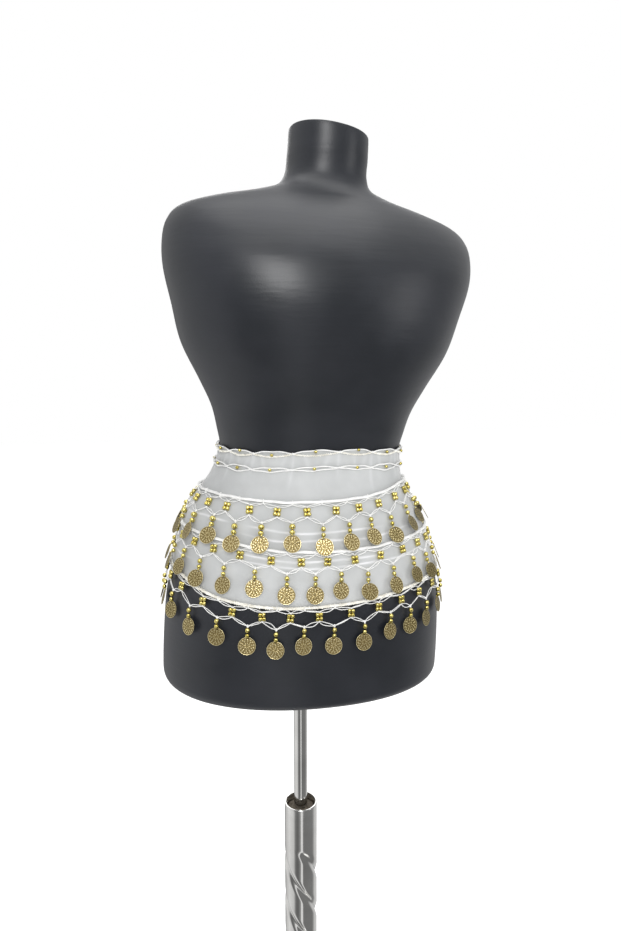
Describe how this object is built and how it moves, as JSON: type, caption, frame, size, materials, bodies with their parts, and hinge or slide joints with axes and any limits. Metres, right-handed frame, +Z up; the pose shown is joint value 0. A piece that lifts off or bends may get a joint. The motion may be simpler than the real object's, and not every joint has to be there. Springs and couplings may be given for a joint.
{
  "type": "beaded belly dance belt on a limbless dress form with its stand",
  "caption": "Sheer hip belt with three rows of netted coin fringe, worn on a limbless dress form that stands on a round chrome base.",
  "frame": {"origin": "centre of the stand base's flat underside, on the stand's upright axis", "axes": "+Z up along the stand, the belt's front towards -Y, the form leaning slightly towards +X"},
  "size_m": [0.3877, 0.35, 1.3667],
  "materials": {
    "chrome": "polished chrome plating",
    "plug": "dull brown plastic",
    "form_skin": "glossy dark grey leatherette, stretched smooth",
    "chiffon": "sheer white chiffon, plain weave with faint pressed creases",
    "thread": "white cotton thread, crocheted and twisted",
    "gold_trim": "gold beads and antiqued brass coins"
  },
  "bodies": {
    "root": {"stand_base": "chrome", "stand_column": "chrome", "column_plug": "plug", "stand_pole": "chrome", "form_flange": "chrome", "form_torso": "form_skin", "cloth_panel": "chiffon", "waist_edging_top": "thread", "waist_edging_second": "thread", "fringe_row_1": "gold_trim", "fringe_row_2": "gold_trim", "fringe_row_3": "gold_trim"}
  },
  "joints": []
}
